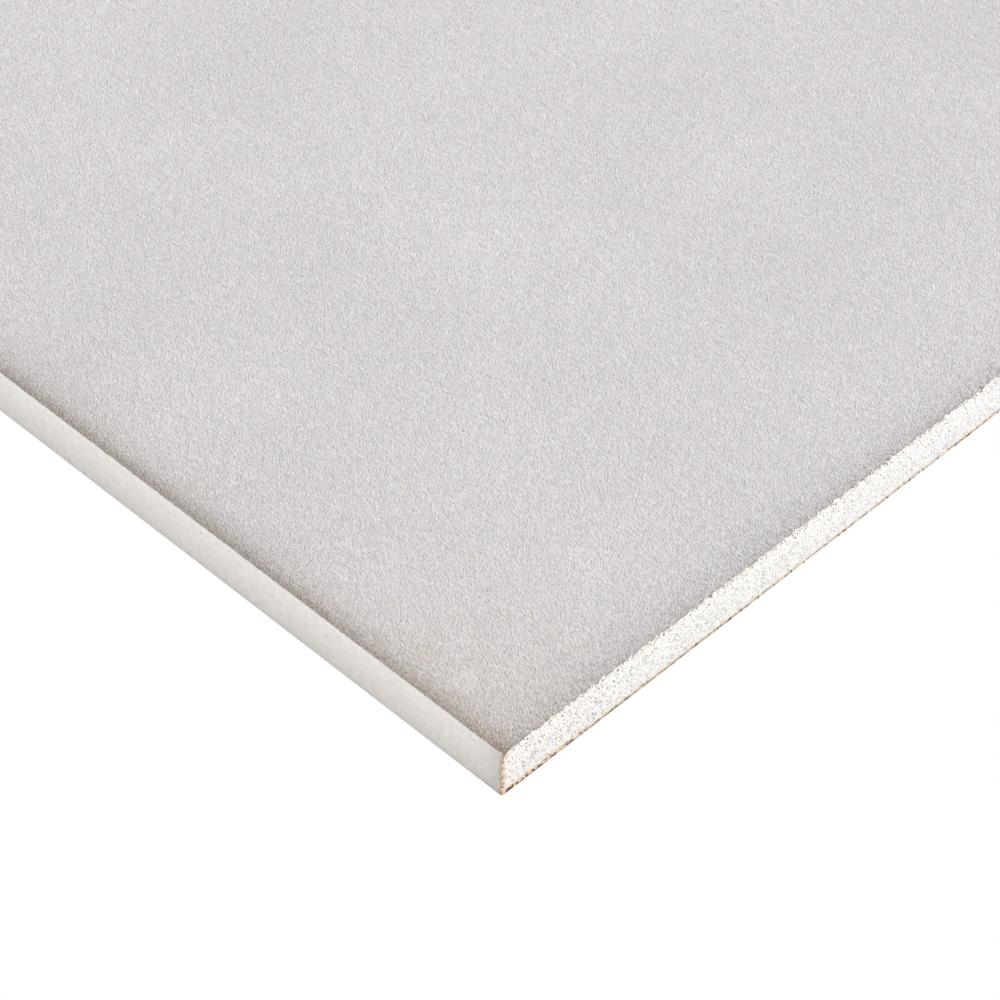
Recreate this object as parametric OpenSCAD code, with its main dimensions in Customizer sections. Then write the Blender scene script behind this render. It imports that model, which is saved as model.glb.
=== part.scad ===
// Drywall sheet: a gypsum core cast between two paper liners.
// The face paper wraps both long edges and laps onto the back, under the back paper.
// The two ends are cut square, so the core and the edges of both papers show there.
// X runs across the width, Y along the length and Z up through the thickness, face side up.
// The origin is at the centre of the back, which is one flat plane.

/* [Board] */
// Overall width, from one wrapped long edge to the other
board_width = 1200; // [600:50:1250]
// Overall length, from one cut end to the other
board_length = 2400; // [900:100:3600]
// Overall thickness, both papers included
board_thickness = 12.5; // [9.5:0.5:25]

/* [Paper liners] */
// Thickness of the face paper
face_paper_thickness = 0.5; // [0.3:0.05:0.8]
// Thickness of the back paper
back_paper_thickness = 0.5; // [0.3:0.05:0.8]

/* [Wrapped long edge] */
// Outside radius of the crease where the face paper turns down over the long edge
shoulder_radius = 0.8; // [0.5:0.1:3]
// Outside radius of the crease where the face paper turns under the board
heel_radius = 0.2; // [0.2:0.1:3]
// How far the face paper is folded onto the back, measured from the long edge
lap_width = 25; // [18:1:40]
// Strip of that lap left showing between the lower crease and the back paper
lap_reveal = 1; // [1:1:12]

/* [Hidden] */
$fn = 64;

half_width = board_width / 2;
half_length = board_length / 2;

// Outline of the core inside the wrap of face paper
core_width = board_width - 2 * face_paper_thickness;
core_top = board_thickness - face_paper_thickness;
core_shoulder_radius = max(shoulder_radius - face_paper_thickness, 0);
core_heel_radius = max(heel_radius - face_paper_thickness, 0);

// Seam on the back: the lap steps up over the skived edge of the back paper, at 45 degrees
seam_edge = half_width - heel_radius - lap_reveal;
seam_step = seam_edge - back_paper_thickness;
lap_edge = half_width - lap_width;
lap_top = back_paper_thickness + face_paper_thickness;

core_colour = "#F4F1EC";
face_paper_colour = "#D6D2D2";
back_paper_colour = "#B99F80";

// A section of the given width between two heights, with its upper and lower corners rounded
module rounded_section(width, low, high, upper_radius, lower_radius) {
    half = width / 2;
    upper_x = half - upper_radius;
    upper_z = high - upper_radius;
    lower_x = half - lower_radius;
    lower_z = low + lower_radius;
    notched_outline = [
        [lower_x, low], [lower_x, lower_z], [half, lower_z],
        [half, upper_z], [upper_x, upper_z], [upper_x, high],
        [-upper_x, high], [-upper_x, upper_z], [-half, upper_z],
        [-half, lower_z], [-lower_x, lower_z], [-lower_x, low]
    ];
    polygon(notched_outline);
    for (side = [-1, 1]) {
        if (upper_radius > 0) translate([side * upper_x, upper_z]) circle(r = upper_radius);
        if (lower_radius > 0) translate([side * lower_x, lower_z]) circle(r = lower_radius);
    }
}

// Outline of the whole board across its width
module board_section() {
    rounded_section(board_width, 0, board_thickness, shoulder_radius, heel_radius);
}

// Back paper: a flat strip whose edges are skived to sit under the laps
module back_paper_section() {
    polygon([
        [-seam_edge, 0], [seam_edge, 0],
        [seam_step, back_paper_thickness], [-seam_step, back_paper_thickness]
    ]);
}

// Everything that lies above the back paper and the two laps
module above_laps_section() {
    right_side = [
        [lap_edge, back_paper_thickness], [lap_edge, lap_top], [seam_step, lap_top],
        [seam_edge, face_paper_thickness], [half_width, face_paper_thickness],
        [half_width, board_thickness]
    ];
    left_side = [for (i = [len(right_side) - 1 : -1 : 0]) [-right_side[i].x, right_side[i].y]];
    polygon(concat(right_side, left_side));
}

// Core: it fills the wrap of face paper, and reaches down to the back paper between the laps
module core_section() {
    intersection() {
        above_laps_section();
        union() {
            rounded_section(core_width, face_paper_thickness, core_top,
                            core_shoulder_radius, core_heel_radius);
            translate([-lap_edge, back_paper_thickness]) square([2 * lap_edge, board_thickness / 2]);
        }
    }
}

// Face paper: what the board's outline leaves round the core and the back paper
module face_paper_section() {
    difference() {
        board_section();
        core_section();
        back_paper_section();
    }
}

// Runs a section along the whole length of the board
module along_board() {
    translate([0, half_length, 0]) rotate([90, 0, 0]) linear_extrude(height = board_length) children();
}

module gypsum_core() {
    color(core_colour) along_board() core_section();
}

module face_paper() {
    color(face_paper_colour) along_board() face_paper_section();
}

module back_paper() {
    color(back_paper_colour) along_board() back_paper_section();
}

gypsum_core();
face_paper();
back_paper();
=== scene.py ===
"""Looks of a square-edged drywall sheet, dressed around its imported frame.

Lengths are metres in the frame's own axes: X across the width, Y along the length, Z up through the
thickness, with the face side up. Names that end in mm hold millimetres, and angles are in degrees.
The papers and the core are swept meshes. Node trees roughen and tear their cut ends, and scatter the
fibres, clots and crumbs that the saw leaves there.
"""

from __future__ import annotations

import logging
import math
from dataclasses import astuple, dataclass
from enum import Enum
from functools import cached_property
from typing import Any

import bpy
import numpy as np
from mathutils import Matrix, Vector


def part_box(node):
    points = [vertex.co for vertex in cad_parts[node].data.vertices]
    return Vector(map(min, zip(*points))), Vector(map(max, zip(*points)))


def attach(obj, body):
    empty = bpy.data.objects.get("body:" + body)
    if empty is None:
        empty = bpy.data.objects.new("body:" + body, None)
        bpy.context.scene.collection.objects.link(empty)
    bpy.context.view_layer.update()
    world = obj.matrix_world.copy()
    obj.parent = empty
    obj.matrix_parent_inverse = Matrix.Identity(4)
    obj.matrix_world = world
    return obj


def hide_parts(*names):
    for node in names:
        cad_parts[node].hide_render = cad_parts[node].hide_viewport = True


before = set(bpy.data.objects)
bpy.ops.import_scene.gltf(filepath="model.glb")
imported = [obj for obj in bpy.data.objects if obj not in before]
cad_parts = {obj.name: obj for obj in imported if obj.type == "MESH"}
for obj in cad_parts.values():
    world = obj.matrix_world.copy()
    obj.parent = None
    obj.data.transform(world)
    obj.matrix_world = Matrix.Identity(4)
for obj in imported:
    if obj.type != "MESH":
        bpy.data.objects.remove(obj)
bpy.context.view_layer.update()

MM = 0.001
BODY = "root"
LOG = logging.getLogger("drywall_sheet")

# Blender's names of the nodes that recur
MATH = "ShaderNodeMath"
VECTOR = "ShaderNodeVectorMath"
RANGE = "ShaderNodeMapRange"
NOISE = "ShaderNodeTexNoise"
CELLS = "ShaderNodeTexVoronoi"
MAPPING = "ShaderNodeMapping"
MIX = "ShaderNodeMix"
JOIN_XYZ = "ShaderNodeCombineXYZ"
SPLIT_XYZ = "ShaderNodeSeparateXYZ"
POSITION = "GeometryNodeInputPosition"
MARKED = "GeometryNodeInputNamedAttribute"
MOVE = "GeometryNodeSetPosition"
REALIZE = "GeometryNodeRealizeInstances"
DRESS = "GeometryNodeSetMaterial"
RANDOM = "FunctionNodeRandomValue"

# What may feed an input, besides a plain value
Feed = bpy.types.Node | bpy.types.NodeSocket


class Slot(Enum):
    """Names of the material slots of the record."""

    GYPSUM = "gypsum"
    FACE_PAPER = "face_paper"
    BACK_PAPER = "back_paper"


class End(Enum):
    """The two cut ends of the sheet, by the sign of Y that they face."""

    FRONT = -1
    REAR = 1


class Bit(Enum):
    """Shapes of the loose bits that the saw leaves."""

    FIBRE = "bent tapering fibre"
    LUMP = "rounded lump"


class Trace(Enum):
    """What the meshes of paper hold about the saw's work, under the names of their attributes."""

    TEAR = "tear"
    PLY = "ply"
    LEAN = "lean"
    FRAY = "fray"
    CLOT = "clot"
    CRUMB = "crumb"
    OPEN_PLY = "open_ply"
    SHADE = "shade"


def linear(code: str) -> tuple[float, float, float, float]:
    """Turn an sRGB hex colour into linear light.

    Args:
        code: Colour such as "#C8C4C0".

    Returns:
        Linear red, green and blue, and an alpha of 1.
    """
    shares = [int(code[i : i + 2], 16) / 255 for i in (1, 3, 5)]
    light = [c / 12.92 if c <= 0.04045 else ((c + 0.055) / 1.055) ** 2.4 for c in shares]
    return (*light, 1.0)


@dataclass
class Graph:
    """A node tree that is being drawn."""

    tree: bpy.types.NodeTree

    def add(self, kind: str, feeds: dict[str | int, Any] | None = None, **settings: Any) -> bpy.types.Node:
        """Add a node, with its settings and what feeds its inputs.

        Args:
            kind: Blender's type name of the node.
            feeds: For each input, by name or number, a value, a node or an output socket. A node feeds
                its first output.
            **settings: Properties of the node, set before its inputs.

        Returns:
            The new node.
        """
        node = self.tree.nodes.new(kind)
        for key, value in settings.items():
            setattr(node, key, value)
        for key, value in (feeds or {}).items():
            if isinstance(key, str):
                socket = next(s for s in node.inputs if s.enabled and s.name == key)
            else:
                socket = node.inputs[key]
            if isinstance(value, bpy.types.Node):
                value = next(s for s in value.outputs if s.enabled)
            if isinstance(value, bpy.types.NodeSocket):
                self.tree.links.new(value, socket)
            else:
                socket.default_value = value
        return node


class Surface(Graph):
    """A material that is being drawn, with the places that its patterns follow."""

    @cached_property
    def place(self) -> Feed:
        """Object coordinates, which are the sheet's own."""
        return self.add("ShaderNodeTexCoord").outputs["Object"]

    @cached_property
    def axes(self) -> bpy.types.bpy_prop_collection:
        """X, Y and Z of the place."""
        return self.add(SPLIT_XYZ, {0: self.place}).outputs

    @cached_property
    def across(self) -> Feed:
        """Distance from the middle of the width."""
        return self.add(MATH, {0: self.axes["X"]}, operation="ABSOLUTE")

    @cached_property
    def along(self) -> Feed:
        """Distance from the middle of the length."""
        return self.add(MATH, {0: self.axes["Y"]}, operation="ABSOLUTE")

    @cached_property
    def height(self) -> Feed:
        """Height above the underside of the sheet."""
        return self.axes["Z"]


class Shaping(Graph):
    """A Geometry Nodes tree that shapes one piece, with a named input for each of its sizes."""

    sockets = {float: "Float", int: "Int", str: "String", tuple: "Vector", bpy.types.Material: "Material"}

    def __init__(self, name: str, values: dict[str, Any]) -> None:
        """Start the tree.

        Args:
            name: Name of the tree.
            values: For each named input its value, whose type gives the kind of socket.
        """
        super().__init__(bpy.data.node_groups.new(name, "GeometryNodeTree"))
        self.values = values
        sides = self.tree.interface
        sides.new_socket("Geometry", in_out="INPUT", socket_type="NodeSocketGeometry")
        sides.new_socket("Geometry", in_out="OUTPUT", socket_type="NodeSocketGeometry")
        for label, value in values.items():
            sides.new_socket(label, in_out="INPUT", socket_type=f"NodeSocket{self.sockets[type(value)]}")
        self.given = self.add("NodeGroupInput").outputs

    def outwards(self, place: Feed, reach: Feed) -> Feed:
        """Offset along the sheet, out of the nearer cut end.

        Args:
            place: Place of each point.
            reach: How far it goes out; below zero it goes in.

        Returns:
            The offset.
        """
        along = self.add(SPLIT_XYZ, {0: place}).outputs["Y"]
        way = self.add(MATH, {0: along}, operation="SIGN")
        push = self.add(MATH, {0: way, 1: reach}, operation="MULTIPLY")
        return self.add(JOIN_XYZ, {"Y": push})

    def run(self, result: Feed, piece: bpy.types.Object) -> None:
        """Close the tree, run it on a piece and keep what it makes as the piece's plain mesh.

        Args:
            result: What the tree makes.
            piece: Object whose mesh is the tree's input.
        """
        self.add("NodeGroupOutput", {"Geometry": result})
        modifier = piece.modifiers.new(self.tree.name, "NODES")
        modifier.node_group = self.tree
        for item in self.tree.interface.items_tree:
            if item.in_out == "INPUT" and item.name in self.values:
                modifier[item.identifier] = self.values[item.name]
        graph = bpy.context.evaluated_depsgraph_get()
        made = piece.evaluated_get(graph)
        mesh = bpy.data.meshes.new_from_object(made, preserve_all_data_layers=True, depsgraph=graph)
        piece.modifiers.remove(modifier)
        base = piece.data
        piece.data = mesh
        bpy.data.meshes.remove(base)
        mesh.name = piece.name
        mesh.shade_smooth()


def new_piece(name: str, mesh: bpy.types.Mesh) -> bpy.types.Object:
    """Make an object at the origin for a mesh.

    Args:
        name: Name of the piece.
        mesh: Its mesh.

    Returns:
        The object, linked to the scene.
    """
    piece = bpy.data.objects.new(name, mesh)
    bpy.context.scene.collection.objects.link(piece)
    return piece


def new_mesh(name: str, points: np.ndarray, faces: list[list[int]]) -> bpy.types.Mesh:
    """Make a mesh from points and faces.

    Args:
        name: Name of the mesh.
        points: Array of N by 3 places.
        faces: Lists of point numbers, counter-clockwise seen from outside.

    Returns:
        The mesh.
    """
    mesh = bpy.data.meshes.new(name)
    mesh.from_pydata(points.tolist(), [], faces)
    return mesh


def hand_over(piece: bpy.types.Object, replaced: tuple[str, ...] = ()) -> None:
    """Fix a finished piece to the sheet's one body and report it.

    Args:
        piece: Finished piece.
        replaced: Frame nodes that it stands for.
    """
    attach(piece, BODY)
    if replaced:
        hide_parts(*replaced)
    triangles = sum(len(face.vertices) - 2 for face in piece.data.polygons)
    LOG.info("%s: %d triangles, stands for %s", piece.name, triangles, ", ".join(replaced) or "no node")


@dataclass(frozen=True)
class SheetSize:
    """Sizes of the sheet: what the frame's boxes show, and the folds and lap that they don't."""

    half_width: float
    half_length: float
    thickness: float
    face_ply: float
    back_ply: float
    seam_edge: float
    shoulder_radius: float = 0.8 * MM
    heel_radius: float = 0.2 * MM
    lap_width: float = 25.0 * MM
    least_inside: float = 0.08 * MM

    @classmethod
    def from_frame(cls) -> SheetSize:
        """Read the sizes from the boxes of the three frame nodes.

        Returns:
            The sizes of the sheet.
        """
        face_low, face_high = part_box("face_paper")
        core_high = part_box("gypsum_core")[1]
        back_low, back_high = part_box("back_paper")
        return cls(
            half_width=face_high.x,
            half_length=face_high.y,
            thickness=face_high.z - face_low.z,
            face_ply=face_high.z - core_high.z,
            back_ply=back_high.z - back_low.z,
            seam_edge=back_high.x,
        )

    @property
    def seam_step(self) -> float:
        """Where the lap has climbed over the edge of the back paper, from the middle of the sheet."""
        return self.seam_edge - self.back_ply

    @property
    def lap_edge(self) -> float:
        """Where the folded face paper ends, from the middle of the sheet."""
        return self.half_width - self.lap_width

    @property
    def lap_top(self) -> float:
        """Height of the folded face paper where it lies over the back paper."""
        return self.back_ply + self.face_ply

    @property
    def inner_shoulder(self) -> float:
        """Inside radius of the upper crease."""
        return max(self.shoulder_radius - self.face_ply, self.least_inside)

    @property
    def inner_heel(self) -> float:
        """Inside radius of the lower crease."""
        return max(self.heel_radius - self.face_ply, self.least_inside)


@dataclass(frozen=True)
class Knock:
    """How the saw has crushed the upper corners of the cut ends, where the folded edge meets the cut."""

    inwards: float = 0.9 * MM
    down: float = 0.55 * MM
    reach: float = 4.5 * MM
    along: float = 3.0 * MM

    def press(self, size: SheetSize, points: np.ndarray) -> np.ndarray:
        """Push points near those corners inwards and down.

        Args:
            size: Sizes of the sheet.
            points: Points of a piece before the saw.

        Returns:
            The points after it.
        """
        from_side = size.half_width - np.abs(points[:, 0])
        from_cut = size.half_length - np.abs(points[:, 1])
        from_fold = np.hypot(from_side, size.thickness - points[:, 2])
        share = np.clip(1 - from_fold / self.reach, 0.0, 1.0) * np.clip(1 - from_cut / self.along, 0.0, 1.0)
        pushed = points.copy()
        pushed[:, 0] -= np.sign(points[:, 0]) * self.inwards * share**2
        pushed[:, 2] -= self.down * share**2
        return pushed


@dataclass(frozen=True)
class Spacing:
    """Steps between mesh columns across the sheet: fine by the corners, coarser in mid width."""

    fine: float
    coarse: float
    fine_reach: float = 165.0 * MM
    blend: float = 120.0 * MM

    def columns(self, half: float) -> np.ndarray:
        """Places of the columns across the sheet.

        Args:
            half: Half of the width that they cover.

        Returns:
            Places from -half to half, in order.
        """
        reach = [0.0]
        while reach[-1] < half:
            share = min(max((reach[-1] - self.fine_reach) / self.blend, 0.0), 1.0)
            reach.append(reach[-1] + self.fine + (self.coarse - self.fine) * share)
        from_edge = np.array(reach) * half / reach[-1]
        return np.concatenate([from_edge - half, half - from_edge[-2::-1]])


@dataclass(frozen=True)
class Ramp:
    """Two limits of a value, and what it becomes at each of them."""

    start: float
    stop: float
    at_start: float = 0.0
    at_stop: Feed | float = 1.0

    def of(self, value: Feed) -> dict[str, Any]:
        """Feeds of a node that takes a value along the ramp."""
        limits = {"From Min": self.start, "From Max": self.stop}
        return {"Value": value, **limits, "To Min": self.at_start, "To Max": self.at_stop}


@dataclass(frozen=True)
class Grain:
    """Uneven patches: their real size, how much finer grain they hold, and how strong that is."""

    mm: float
    detail: float = 0.0
    roughness: float = 0.5

    def of(self, place: Feed) -> dict[str, Any]:
        """Feeds of a noise with this grain over a place."""
        scale = 1 / (self.mm * MM)
        return {"Vector": place, "Scale": scale, "Detail": self.detail, "Roughness": self.roughness}


@dataclass(frozen=True)
class Tint:
    """Faint patches of stray colour: their grain, and how far each channel strays to either side."""

    grain: Grain
    strays: float

    def draw(self, on: Surface, colour: str, tone: Feed) -> Feed:
        """Draw a colour with its stray tints.

        Args:
            on: Material that is being drawn.
            colour: Colour that strays.
            tone: How bright it is from place to place.

        Returns:
            The colour.
        """
        dye = on.add(NOISE, self.grain.of(on.place)).outputs["Color"]
        spread = (2 * self.strays,) * 3
        least = (1 - self.strays,) * 3
        stray = on.add(VECTOR, {0: dye, 1: spread, 2: least}, operation="MULTIPLY_ADD")
        tinted = on.add(VECTOR, {0: stray, 1: linear(colour)[:3]}, operation="MULTIPLY")
        return on.add(VECTOR, {0: tinted, "Scale": tone}, operation="SCALE")


@dataclass(frozen=True)
class Flecks:
    """Sparse dark flecks of printed waste: spacing, radius, colour and how strongly they show.

    A fleck is full up to a share of its radius, and fades from there to its rim. Flecks are drawn larger
    than most real ones, which are too fine to show in the render.
    """

    apart_mm: float
    radius_mm: float
    colour: str
    share: float = 1.0
    full_at: float = 0.5

    def draw(self, on: Surface, sheet: Feed) -> Feed:
        """Draw the flecks over a sheet of paper.

        Args:
            on: Material that is being drawn.
            sheet: Colour of the paper.

        Returns:
            The colour with the flecks.
        """
        cells = on.add(CELLS, {"Vector": on.place, "Scale": 1 / (self.apart_mm * MM)})
        rim = self.radius_mm / self.apart_mm
        fleck = on.add(RANGE, Ramp(rim, self.full_at * rim, 0.0, self.share).of(cells))
        return on.add(MIX, {"Factor": fleck, "A": sheet, "B": linear(self.colour)}, data_type="RGBA")


@dataclass(frozen=True)
class EdgeFade:
    """Dust, soil or painted shade that thins out away from an edge: its reach, and its share right beside
    the edge.
    """

    reach_mm: float
    share: float

    def fade(self, on: Surface, distance: Feed, share: Feed | None = None) -> Feed:
        """Draw how it thins out.

        Args:
            on: Material that is being drawn.
            distance: Distance from the edge.
            share: Share beside the edge, where it isn't the same all along it.

        Returns:
            Its share at that distance.
        """
        outside = on.add(MATH, {0: distance, 1: 0.0}, operation="MAXIMUM")
        fall = on.add(MATH, {0: outside, 1: -1 / (self.reach_mm * MM)}, operation="MULTIPLY")
        left = on.add(MATH, {0: fall}, operation="EXPONENT")
        beside = self.share if share is None else share
        return on.add(MATH, {0: left, 1: beside}, operation="MULTIPLY")


@dataclass(frozen=True)
class SoilAndShade(EdgeFade):
    """A band on the face liner, of soil, of painted shade or of both, with its share on the turned edge and
    its colour.
    """

    on_edge: float
    colour: str


@dataclass(frozen=True)
class Mark:
    """A mark on the face, placed in millimetres from the near left corner."""

    across_mm: float
    along_mm: float
    radius_mm: float
    colour: str
    share: float
    flattens: float = 0.0


@dataclass(frozen=True)
class Pores:
    """One size of air pore: the spacing, the largest mouth as a share of it, and how much painted shade
    fills the mouths.

    A share of the places stays closed, and a mouth's rim runs between two shares of the largest mouth.
    """

    apart_mm: float
    largest: float
    mouth_shade: float
    closed: float = 0.15
    rim: tuple[float, float] = (-0.08, 0.28)

    def draw(self, on: Surface, drawn: Feed) -> Feed:
        """Draw the painted shade in the mouths of these pores.

        Args:
            on: Material that is being drawn.
            drawn: Coordinates, drawn out along the saw's strokes.

        Returns:
            How much painted shade they hold, from 0 to 1.
        """
        cells = on.add(CELLS, {"Vector": drawn, "Scale": 1 / (self.apart_mm * MM)}).outputs
        chance = on.add("ShaderNodeSeparateColor", {0: cells["Color"]})
        radius = on.add(RANGE, Ramp(self.closed, 1.0, 0.0, self.largest).of(chance))
        inside = on.add(MATH, {0: radius, 1: cells["Distance"]}, operation="SUBTRACT")
        outer, inner = (share * self.largest for share in self.rim)
        return on.add(RANGE, Ramp(outer, inner, 0.0, self.mouth_shade).of(inside))


@dataclass(frozen=True, kw_only=True)
class Finish:
    """A surface finish: what all materials here share, round a colour and a relief of their own."""

    name: str
    roughness: float
    specular: float
    relief_mm: float
    ior: float = 1.5

    def paint(self, on: Surface) -> tuple[Feed, Feed, Feed | float]:
        """Draw the colour, the height of the relief and how much of it is left, as each finish has them."""
        raise NotImplementedError

    def material(self) -> bpy.types.Material:
        """Make the material.

        Returns:
            The node material.
        """
        material = bpy.data.materials.new(self.name)
        material.use_nodes = True
        on = Surface(material.node_tree)
        on.tree.nodes.clear()
        colour, height, left = self.paint(on)
        bump = {"Strength": left, "Distance": self.relief_mm * MM, "Height": height}
        look = {
            "Base Color": colour,
            "Roughness": self.roughness,
            "IOR": self.ior,
            "Specular IOR Level": self.specular,
            "Normal": on.add("ShaderNodeBump", bump),
        }
        shader = on.add("ShaderNodeBsdfPrincipled", look)
        on.add("ShaderNodeOutputMaterial", {"Surface": shader})
        return material


@dataclass(frozen=True, kw_only=True)
class FaceLinerFinish(Finish):
    """Multi-ply face liner of recycled fibre, calendered on the forming line.

    The eye sees a warm grey felt of short fibres that lie across each other, lit from one side, with
    painted shade between them, faint stray tints, a few dark flecks and handling soil along the folds.
    Darker bands by the folds and cut ends are painted shade with some soil in them. The fold presses it
    smooth, so the long edges are plain; they are also drawn paler, with painted shade that deepens
    towards the heel and a painted dark line at its foot.
    Real fibres are too fine to show, so fibres and streaks are drawn several times as wide.
    """

    size: SheetSize
    name: str = "Recycled paper, calendered face liner"
    roughness: float = 0.85
    specular: float = 0.2
    relief_mm: float = 0.53
    edge_relief: float = 0.2

    face_colour: str = "#D3CFD0"
    fibre: Grain = Grain(0.27)
    fibre_lay: tuple[float, ...] = (-42.0, 0.0)
    drawn_out: float = 2.6
    cockle: Grain = Grain(1.7)
    cockle_share: float = 0.34
    # Painted shade: the face is darker between the fibres
    hollow_shade: Ramp = Ramp(0.3, 0.65, 0.86, 1.04)
    streak: Grain = Grain(0.2, 1.0)
    streak_long_mm: float = 1.2
    streak_tone: Ramp = Ramp(0.36, 0.64, 0.93, 1.07)
    cloud: Grain = Grain(45.0, 4.0)
    cloud_tone: Ramp = Ramp(0.3, 0.7, 0.97, 1.03)
    face_tint: Tint = Tint(Grain(2.2, 2.0, 0.6), 0.06)
    flecks: Flecks = Flecks(4.5, 0.25, "#6F655C", 0.6)

    edge_colour: str = "#F3EFEB"
    edge_mottle: Grain = Grain(1.6, 3.0)
    mottle_tone: Ramp = Ramp(0.3, 0.7, 0.94, 1.06)
    edge_tint: Tint = Tint(Grain(2.2, 2.0), 0.04)
    # Painted shade: the turned edge darkens towards the heel
    heel_painted_shade: float = 0.855
    fold_fray_mm: float = 0.4
    fold_line_mm: tuple[float, float] = (0.19, 0.57)

    handling_soil: SoilAndShade = SoilAndShade(40.0, 0.07, 0.0, "#75603F")
    # Painted shade with some soil: darker bands along the folds and by the cut ends
    fold_shade_and_soil: SoilAndShade = SoilAndShade(2.8, 0.54, 0.0, "#675026")
    cut_shade_and_soil: SoilAndShade = SoilAndShade(4.3, 0.325, 0.45, "#2B2725")
    # Painted shade: a dark line along the foot of the turned edge
    heel_contact_shade: SoilAndShade = SoilAndShade(0.6, 0.0, 0.19, "#2B2725")
    corner_soil: SoilAndShade = SoilAndShade(32.0, 0.09, 0.04, "#D6A866")
    bare_edge: SoilAndShade = SoilAndShade(0.35, 0.0, 1.0, "#B5875A")
    crest_mm: float = 0.9
    rubbed: Ramp = Ramp(0.0, 120.0 * MM, 0.97, 1.07)
    fold_band_in_hollows: Ramp = Ramp(0.3, 0.7, 1.23, 0.77)
    cut_band_in_hollows: Ramp = Ramp(0.3, 0.7, 1.6, 0.4)

    mark_fray: Grain = Grain(2.5, 2.0)
    mark_rim: tuple[float, float] = (1.5, 0.9)
    marks: tuple[Mark, ...] = (
        Mark(8.2, 18.4, 3.6, "#CDCEC8", 0.15, 0.4),
        Mark(6.8, 36.7, 4.5, "#C4A878", 0.06),
        Mark(7.9, 28.0, 4.0, "#C4A878", 0.11),
        Mark(24.6, 24.4, 3.5, "#C4A878", 0.04),
    )

    def felt(self, on: Surface) -> tuple[Feed, Feed]:
        """Draw the felt: short fibres that lie across each other, on a shallow cockle.

        Args:
            on: Material that is being drawn.

        Returns:
            The fibres alone, and the whole height.
        """
        fibres = None
        for turn in self.fibre_lay:
            lay = {"Rotation": (0.0, 0.0, math.radians(turn)), "Scale": (1.0, self.drawn_out, 1.0)}
            drawn = on.add(MAPPING, {"Vector": on.place, **lay}, vector_type="TEXTURE")
            layer = on.add(NOISE, self.fibre.of(drawn))
            if fibres is None:
                fibres = layer
            else:
                fibres = on.add(MATH, {0: fibres, 1: layer}, operation="MAXIMUM")
        cockle = on.add(NOISE, self.cockle.of(drawn))
        height = on.add(MATH, {0: cockle, 1: self.cockle_share, 2: fibres}, operation="MULTIPLY_ADD")
        return fibres, height

    def turned(self, on: Surface, fibres: Feed) -> Feed:
        """Find where the sheet has turned over the fold, along a fibrous line.

        Args:
            on: Material that is being drawn.
            fibres: Fibres that fray the line.

        Returns:
            0 on the face, 1 on the long edge.
        """
        depth = on.add(MATH, {0: self.size.thickness, 1: on.height}, operation="SUBTRACT")
        turn = on.add(MATH, {0: depth, 1: on.across}, operation="ADD")
        frayed = on.add(MATH, {0: fibres, 1: self.fold_fray_mm * MM, 2: turn}, operation="MULTIPLY_ADD")
        start, stop = (self.size.half_width + mm * MM for mm in self.fold_line_mm)
        return on.add(RANGE, Ramp(start, stop).of(frayed), interpolation_type="SMOOTHSTEP")

    def face_tone(self, on: Surface, fibres: Feed) -> Feed:
        """Draw the face before its soil and painted bands: with painted shade between the fibres, streaked,
        clouded and tinted.

        Args:
            on: Material that is being drawn.
            fibres: Height of the fibres.

        Returns:
            The colour.
        """
        narrowed = (1.0, self.streak.mm / self.streak_long_mm, 1.0)
        laid = on.add(MAPPING, {"Vector": on.place, "Scale": narrowed})
        streaks = on.add(NOISE, self.streak.of(laid))
        streaked = on.add(RANGE, self.streak_tone.of(streaks), interpolation_type="SMOOTHSTEP")
        clouded = on.add(RANGE, self.cloud_tone.of(on.add(NOISE, self.cloud.of(on.place))))
        # Painted shade between the fibres
        tone = on.add(RANGE, self.hollow_shade.of(fibres))
        for share in (streaked, clouded):
            tone = on.add(MATH, {0: tone, 1: share}, operation="MULTIPLY")
        return self.face_tint.draw(on, self.face_colour, tone)

    def edge_tone(self, on: Surface) -> Feed:
        """Draw the turned edge: pale, faintly mottled, and with painted shade that deepens towards the
        heel.

        Args:
            on: Material that is being drawn.

        Returns:
            The colour.
        """
        mottled = on.add(RANGE, self.mottle_tone.of(on.add(NOISE, self.edge_mottle.of(on.place))))
        # Painted shade, darker towards the heel
        shaded_to_heel = on.add(RANGE, Ramp(0.0, self.size.thickness, self.heel_painted_shade, 1.0).of(on.height))
        tone = on.add(MATH, {0: mottled, 1: shaded_to_heel}, operation="MULTIPLY")
        return self.edge_tint.draw(on, self.edge_colour, tone)

    def soiled_and_shaded(self, on: Surface, sheet: Feed, fibres: Feed, turned: Feed) -> Feed:
        """Lay soil and painted shade on the sheet: brown along the folds, whose crest is rubbed, and greyer
        by the cuts, in bands of painted shade with some soil, and a line of painted shade at the heel.

        Args:
            on: Material that is being drawn.
            sheet: Colour under the soil and the painted shade.
            fibres: Height of the fibres; the bands are stronger between them.
            turned: 0 on the face, 1 on the long edge.

        Returns:
            The colour with the soil and the painted shade.
        """
        size = self.size
        crest = size.half_width - self.crest_mm * MM
        past_crest = on.add(MATH, {0: on.across, 1: crest}, operation="SUBTRACT")
        from_fold = on.add(MATH, {0: past_crest}, operation="ABSOLUTE")
        from_cut = on.add(MATH, {0: size.half_length, 1: on.along}, operation="SUBTRACT")
        from_side = on.add(MATH, {0: size.half_width, 1: on.across}, operation="SUBTRACT")
        apart = on.add(JOIN_XYZ, {"X": from_side, "Y": from_cut})
        from_corner = on.add(VECTOR, {0: apart}, operation="LENGTH").outputs["Value"]
        by_cut = on.add(RANGE, self.cut_band_in_hollows.of(fibres))
        by_fold = on.add(RANGE, self.fold_band_in_hollows.of(fibres))
        rubbed = on.add(RANGE, self.rubbed.of(from_cut))
        fold_share = on.add(MATH, {0: by_fold, 1: rubbed}, operation="MULTIPLY")
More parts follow.
